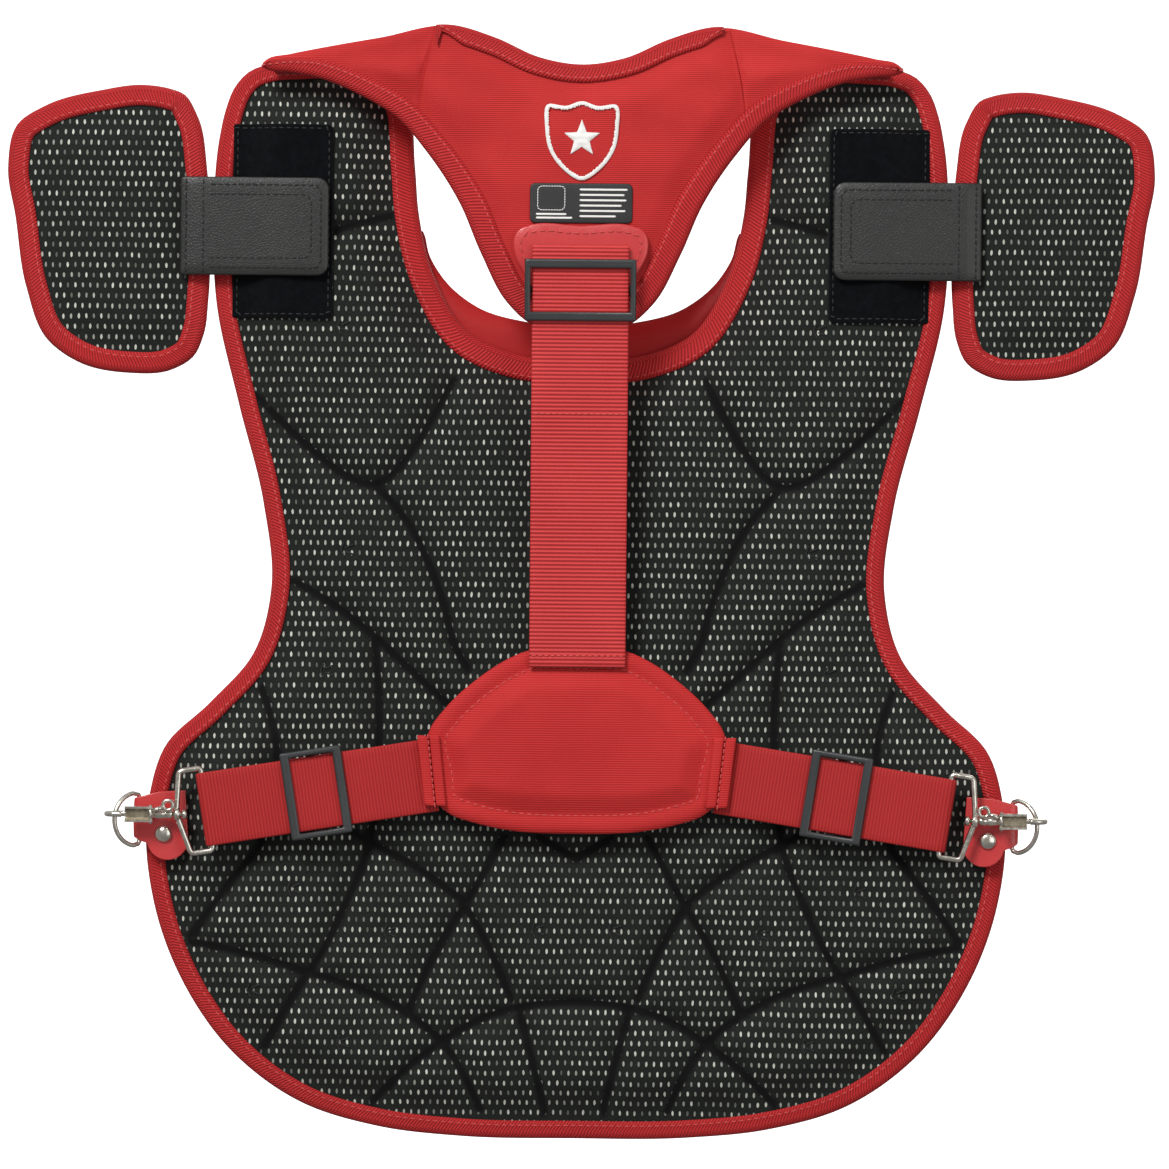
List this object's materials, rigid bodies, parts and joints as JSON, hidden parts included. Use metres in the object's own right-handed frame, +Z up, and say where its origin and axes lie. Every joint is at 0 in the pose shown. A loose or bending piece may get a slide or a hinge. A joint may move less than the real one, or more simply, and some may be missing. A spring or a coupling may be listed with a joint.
{
  "type": "catcher's chest protector",
  "caption": "Padded chest protector for a ball-sport catcher: quilted body with neck cut-out, hinged shoulder wings, Y-shaped back harness and waist straps clipped to D-rings.",
  "frame": {"origin": "midway between the shoulder tops of the body, in its middle surface, where it hangs from the shoulders", "axes": "+Z up towards the neck, +Y out of the front cover away from the wearer, +X towards the right side of the view from behind"},
  "size_m": [0.596, 0.058, 0.5796],
  "materials": {
    "red_cloth": "fine woven nylon, matt",
    "red_tape": "ribbed binding tape",
    "red_webbing": "ribbed webbing, slight sheen",
    "red_leather": "smooth coated leather, semi-gloss",
    "mesh_liner": "black spacer mesh over pale backing",
    "black_vinyl": "grained vinyl, satin",
    "loop_fabric": "brushed loop pile, matt",
    "dark_plastic": "moulded acetal, satin",
    "foam": "closed-cell foam",
    "plate_plastic": "moulded sheet",
    "nickel": "nickel plate"
  },
  "bodies": {
    "chest": {"neck_collar_pad": "red_cloth", "chest_cover": "red_cloth", "chest_liner": "mesh_liner", "chest_binding": "red_tape", "shoulder_seam_tape_left": "red_tape", "shoulder_seam_tape_right": "red_tape", "sternum_foam": "foam", "belly_foam": "foam", "hem_foam": "foam", "shoulder_foam_left": "foam", "shoulder_foam_right": "foam", "chest_foam_left": "foam", "chest_foam_right": "foam", "side_foam_left": "foam", "side_foam_right": "foam", "waist_foam_left": "foam", "waist_foam_right": "foam", "hip_foam_left": "foam", "hip_foam_right": "foam", "heart_plate": "plate_plastic", "loop_patch_left": "loop_fabric", "ring_tab_left": "red_leather", "ring_rivet_left": "nickel", "wing_strap_left": "black_vinyl", "waist_webbing_left": "red_webbing", "waist_webbing_return_left": "red_webbing", "wire_loop_left": "nickel", "loop_patch_right": "loop_fabric", "ring_tab_right": "red_leather", "ring_rivet_right": "nickel", "wing_strap_right": "black_vinyl", "waist_webbing_right": "red_webbing", "waist_webbing_return_right": "red_webbing", "wire_loop_right": "nickel"},
    "harness": {"yoke_plate": "red_cloth", "shoulder_pad_left": "red_cloth", "shoulder_pad_right": "red_cloth", "yoke_binding": "red_tape", "anchor_tab": "red_leather", "centre_webbing": "red_webbing", "centre_webbing_tail": "red_webbing", "back_pad": "red_cloth", "waist_webbing_inner_left": "red_webbing", "waist_webbing_inner_right": "red_webbing"},
    "centre_slider": {"centre_tri_glide": "dark_plastic"},
    "wing_left": {"wing_pad_left": "mesh_liner", "wing_binding_left": "red_tape", "wing_strap_end_left": "black_vinyl"},
    "slider_left": {"waist_tri_glide_left": "dark_plastic"},
    "hook_left": {"snap_hook_left": "nickel"},
    "gate_left": {"gate_lever_left": "nickel"},
    "ring_left": {"d_ring_left": "nickel"},
    "wing_right": {"wing_pad_right": "mesh_liner", "wing_binding_right": "red_tape", "wing_strap_end_right": "black_vinyl"},
    "slider_right": {"waist_tri_glide_right": "dark_plastic"},
    "hook_right": {"snap_hook_right": "nickel"},
    "gate_right": {"gate_lever_right": "nickel"},
    "ring_right": {"d_ring_right": "nickel"}
  },
  "joints": [
    {"name": "harness_swing", "type": "hinge", "parent": "chest", "child": "harness", "pos_m": [0, -0.02, 0.012], "axis": [-1, 0, 0], "range_deg": [0, 5], "deforming": ["waist_webbing_inner_left", "waist_webbing_inner_right"]},
    {"name": "centre_slider_travel", "type": "slide", "parent": "harness", "child": "centre_slider", "axis": [0, 0.0645, -0.9979], "range_m": [0, 0.06]},
    {"name": "wing_flap_left", "type": "hinge", "parent": "chest", "child": "wing_left", "pos_m": [-0.1977, -0.0276, -0.067], "axis": [0, 0, 1], "range_deg": [-4, 60]},
    {"name": "slider_travel_left", "type": "slide", "parent": "chest", "child": "slider_left", "axis": [-0.9788, -0.1349, -0.1538], "range_m": [-0.018, 0.026]},
    {"name": "hook_swivel_left", "type": "hinge", "parent": "chest", "child": "hook_left", "pos_m": [-0.21, -0.0391, -0.3725], "axis": [1, 0, 0], "range_deg": [-12, 12]},
    {"name": "gate_open_left", "type": "hinge", "parent": "hook_left", "child": "gate_left", "pos_m": [-0.2195, -0.0439, -0.3725], "axis": [0, 0, -1], "range_deg": [0, 14], "stiffness_Nm_per_rad": 0.02, "springref_deg": -5.73},
    {"name": "ring_swing_left", "type": "hinge", "parent": "chest", "child": "ring_left", "pos_m": [-0.226, -0.03, -0.3756], "axis": [0, 0, 1], "range_deg": [-4, 4]},
    {"name": "wing_flap_right", "type": "hinge", "parent": "chest", "child": "wing_right", "pos_m": [0.1977, -0.0276, -0.067], "axis": [0, 0, -1], "range_deg": [-4, 60]},
    {"name": "slider_travel_right", "type": "slide", "parent": "chest", "child": "slider_right", "axis": [0.9788, -0.1349, -0.1538], "range_m": [-0.018, 0.026]},
    {"name": "hook_swivel_right", "type": "hinge", "parent": "chest", "child": "hook_right", "pos_m": [0.21, -0.0391, -0.3725], "axis": [1, 0, 0], "range_deg": [-12, 12]},
    {"name": "gate_open_right", "type": "hinge", "parent": "hook_right", "child": "gate_right", "pos_m": [0.2195, -0.0439, -0.3725], "axis": [0, 0, 1], "range_deg": [0, 14], "stiffness_Nm_per_rad": 0.02, "springref_deg": -5.73},
    {"name": "ring_swing_right", "type": "hinge", "parent": "chest", "child": "ring_right", "pos_m": [0.226, -0.03, -0.3756], "axis": [0, 0, 1], "range_deg": [-4, 4]}
  ]
}
